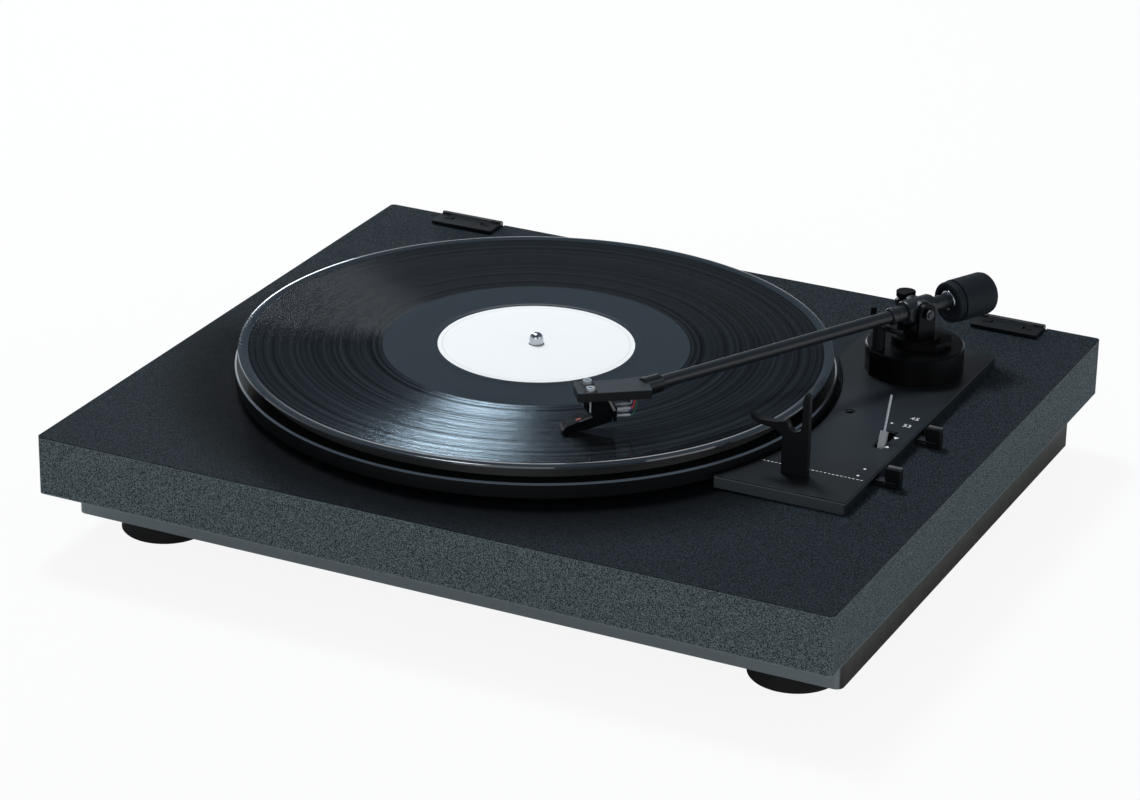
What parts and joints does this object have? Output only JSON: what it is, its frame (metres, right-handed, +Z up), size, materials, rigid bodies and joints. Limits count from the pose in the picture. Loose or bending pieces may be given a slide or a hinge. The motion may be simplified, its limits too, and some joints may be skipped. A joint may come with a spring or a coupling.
{
  "type": "automatic record player",
  "caption": "Belt-drive record player with an automatic tonearm, sliding controls, a cue lever and hinge tongues for a lid.",
  "frame": {"origin": "on the surface the player stands on, under the middle of the plinth", "axes": "+X to the right seen from the front, +Y to the back, +Z up"},
  "size_m": [0.421, 0.3656, 0.112],
  "materials": {
    "plinth_black": "fine grained, satin",
    "tray_brown_black": "smooth, matt",
    "foot_rubber": "matt",
    "plate_black": "satin",
    "moulded_black": "satin moulded",
    "platter_cast": "turned casting",
    "mat_rubber": "matt",
    "disc_vinyl": "grooved, glossy",
    "label_paper": "uncoated paper",
    "bright_steel": "polished",
    "zinc_steel": "zinc plated",
    "pulley_brass": "turned",
    "nylon": "natural",
    "lever_grey": "satin moulded",
    "board_green": "lacquered",
    "socket_white": "moulded",
    "socket_red": "moulded",
    "arm_tube_black": "black, satin",
    "weight_black": "rubber-like coat",
    "wire_white": "insulated",
    "wire_blue": "insulated",
    "wire_red": "insulated",
    "wire_green": "insulated"
  },
  "bodies": {
    "root": {"plinth": "plinth_black", "bottom_tray": "tray_brown_black", "foot_front_left": "foot_rubber", "foot_front_right": "foot_rubber", "foot_rear_left": "foot_rubber", "foot_rear_right": "foot_rubber", "control_plate": "plate_black", "arm_base": "moulded_black", "arm_rest": "moulded_black", "spindle": "bright_steel", "motor": "zinc_steel", "drive_belt": "mat_rubber", "circuit_board": "board_green", "signal_socket_left": "socket_white", "signal_socket_right": "socket_red", "power_inlet": "moulded_black", "hinge_left_base": "moulded_black", "hinge_left_pin": "zinc_steel", "hinge_right_base": "moulded_black", "hinge_right_pin": "zinc_steel", "cue_bracket": "zinc_steel"},
    "platter": {"platter": "platter_cast", "platter_mat": "mat_rubber", "hub_gear": "nylon", "record_disc": "disc_vinyl", "record_label": "label_paper"},
    "pulley": {"motor_pulley": "pulley_brass"},
    "cam": {"cam_gear": "nylon"},
    "slide": {"return_slide": "zinc_steel"},
    "yoke": {"arm_yoke": "moulded_black", "arm_shaft": "bright_steel", "arm_sector": "zinc_steel", "pivot_screw_near": "bright_steel", "pivot_screw_far": "bright_steel"},
    "tonearm": {"arm_hub_block": "moulded_black", "arm_tube": "arm_tube_black", "arm_rear_tube": "arm_tube_black", "counterweight": "weight_black", "headshell": "moulded_black", "cartridge": "moulded_black", "stylus": "moulded_black", "mount_screw_near": "bright_steel", "mount_screw_far": "bright_steel", "wire_white": "wire_white", "wire_blue": "wire_blue", "wire_red": "wire_red", "wire_green": "wire_green"},
    "cue": {"cue_lever": "lever_grey", "cue_lever_rod": "bright_steel"},
    "lift": {"lift_post": "moulded_black", "lift_bar": "moulded_black"},
    "start": {"start_slider": "zinc_steel", "start_knob": "moulded_black"},
    "speed": {"speed_slider": "zinc_steel", "speed_knob": "moulded_black"},
    "line": {"line_switch": "moulded_black"},
    "hinge_left": {"hinge_left_tongue": "moulded_black"},
    "hinge_right": {"hinge_right_tongue": "moulded_black"}
  },
  "joints": [
    {"name": "platter_spin", "type": "hinge", "parent": "root", "child": "platter", "pos_m": [-0.02756, -0.00245, 0.062], "axis": [0, 0, 1], "continuous": true},
    {"name": "pulley_spin", "type": "hinge", "parent": "root", "child": "pulley", "pos_m": [-0.11251, -0.06417, 0.065], "axis": [0, 0, 1], "continuous": true},
    {"name": "cam_spin", "type": "hinge", "parent": "root", "child": "cam", "pos_m": [0.01859, 0.0181, 0.0545], "axis": [0, 0, 1], "continuous": true},
    {"name": "slide_stroke", "type": "slide", "parent": "root", "child": "slide", "axis": [0.878, 0.4786, 0], "range_m": [0, 0.01]},
    {"name": "arm_swing", "type": "hinge", "parent": "root", "child": "yoke", "pos_m": [0.14317, 0.086, 0.0825], "axis": [0, 0, 1], "range_deg": [-16.4, 26.2]},
    {"name": "arm_tilt", "type": "hinge", "parent": "yoke", "child": "tonearm", "pos_m": [0.14317, 0.086, 0.1005], "axis": [-0.8881, 0.4596, 0], "range_deg": [0, 2.2]},
    {"name": "cue_lever_tilt", "type": "hinge", "parent": "root", "child": "cue", "pos_m": [0.1642, -0.0197, 0.0475], "axis": [-1, 0, 0], "range_deg": [0, 24]},
    {"name": "lift_rise", "type": "slide", "parent": "root", "child": "lift", "axis": [0, 0, 1], "range_m": [0, 0.0014]},
    {"name": "start_slide", "type": "slide", "parent": "root", "child": "start", "axis": [0, -1, 0], "range_m": [0, 0.0085], "stiffness_N_per_m": 60},
    {"name": "speed_slide", "type": "slide", "parent": "root", "child": "speed", "axis": [0, 1, 0], "range_m": [0, 0.0098]},
    {"name": "line_slide", "type": "slide", "parent": "root", "child": "line", "axis": [1, 0, 0], "range_m": [0, 0.004]},
    {"name": "hinge_left_swing", "type": "hinge", "parent": "root", "child": "hinge_left", "pos_m": [-0.1577, 0.1796, 0.0635], "axis": [-1, 0, 0], "range_deg": [0, 75]},
    {"name": "hinge_right_swing", "type": "hinge", "parent": "root", "child": "hinge_right", "pos_m": [0.1624, 0.1796, 0.0635], "axis": [-1, 0, 0], "range_deg": [0, 75]}
  ],
  "couplings": [
    {"joint": "pulley_spin", "follows": "platter_spin", "ratio": 12},
    {"joint": "cam_spin", "follows": "platter_spin", "ratio": -0.2},
    {"joint": "arm_tilt", "follows": "cue_lever_tilt", "ratio": 0.09166},
    {"joint": "lift_rise", "follows": "cue_lever_tilt", "m_per_rad": 0.003342}
  ]
}
